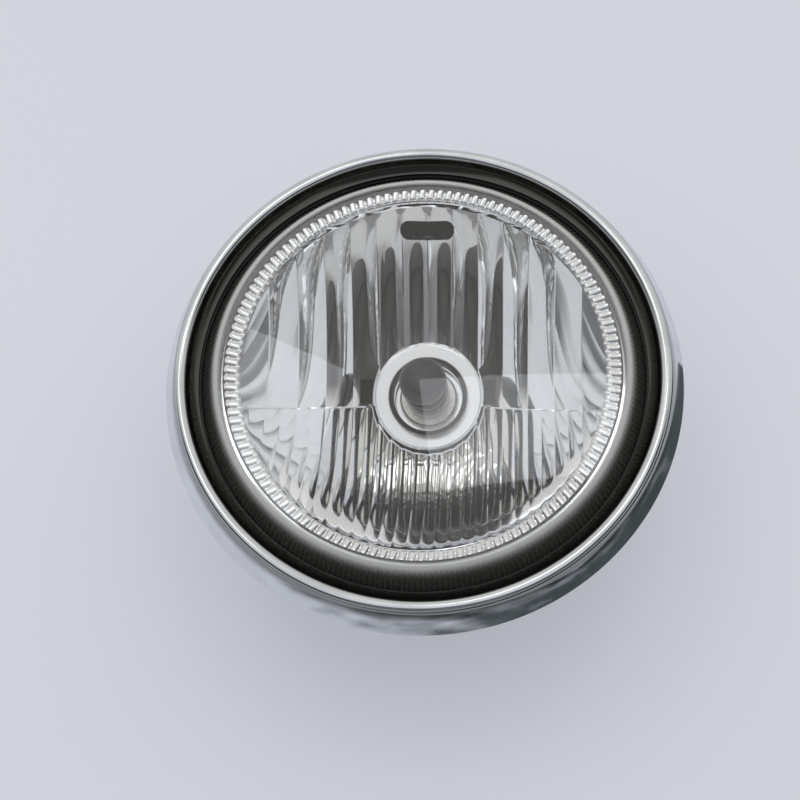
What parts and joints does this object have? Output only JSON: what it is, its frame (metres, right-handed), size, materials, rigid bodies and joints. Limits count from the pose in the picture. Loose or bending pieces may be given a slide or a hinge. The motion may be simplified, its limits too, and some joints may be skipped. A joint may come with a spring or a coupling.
{
  "type": "scooter headlight",
  "caption": "Round scooter headlight with a flared chrome rim, a clear lens over a ring of prisms, a fluted bright reflector with its bulb, and a dark rear housing.",
  "frame": {"origin": "on the rim's axis, in the plane of the rubber boot's rear face, on which the lamp lies", "axes": "+Z out of the lens along the rim's axis, +Y the vehicle's up, +X to the right as one looks at the lens"},
  "size_m": [0.18, 0.18, 0.1004],
  "materials": {
    "chrome": "polished chrome on pressed steel",
    "clear_lens": "clear hard-coated plastic",
    "bright_metal": "plastic with a mirror-bright metal coat",
    "black_plastic": "moulded, fine grain",
    "rubber": "matt moulded rubber",
    "seal": "sealing compound",
    "zinc_steel": "zinc plated",
    "bulb_glass": "clear glass with a dark violet-grey cap",
    "bulb_metal": "bright drawn metal",
    "tungsten": "drawn wire and shield",
    "brown_plastic": "moulded phenolic",
    "brass": "turned brass"
  },
  "bodies": {
    "root": {"trim_rim": "chrome", "rim_brackets": "zinc_steel", "rim_screws": "zinc_steel", "lens": "clear_lens", "lens_seal": "seal", "inner_bezel": "bright_metal", "reflector": "bright_metal", "bulb_collar": "bright_metal", "housing": "black_plastic", "bulb_glass": "bulb_glass", "bulb_filaments": "tungsten", "bulb_base": "bulb_metal", "bulb_insulator": "brown_plastic", "bulb_terminals": "brass", "bulb_clip": "zinc_steel", "clip_screws": "zinc_steel", "rubber_boot": "rubber", "pilot_bulb": "bulb_glass", "pilot_holder": "rubber", "pivot_inserts": "brass", "aim_insert": "brass", "vent_cap": "rubber"}
  },
  "joints": []
}
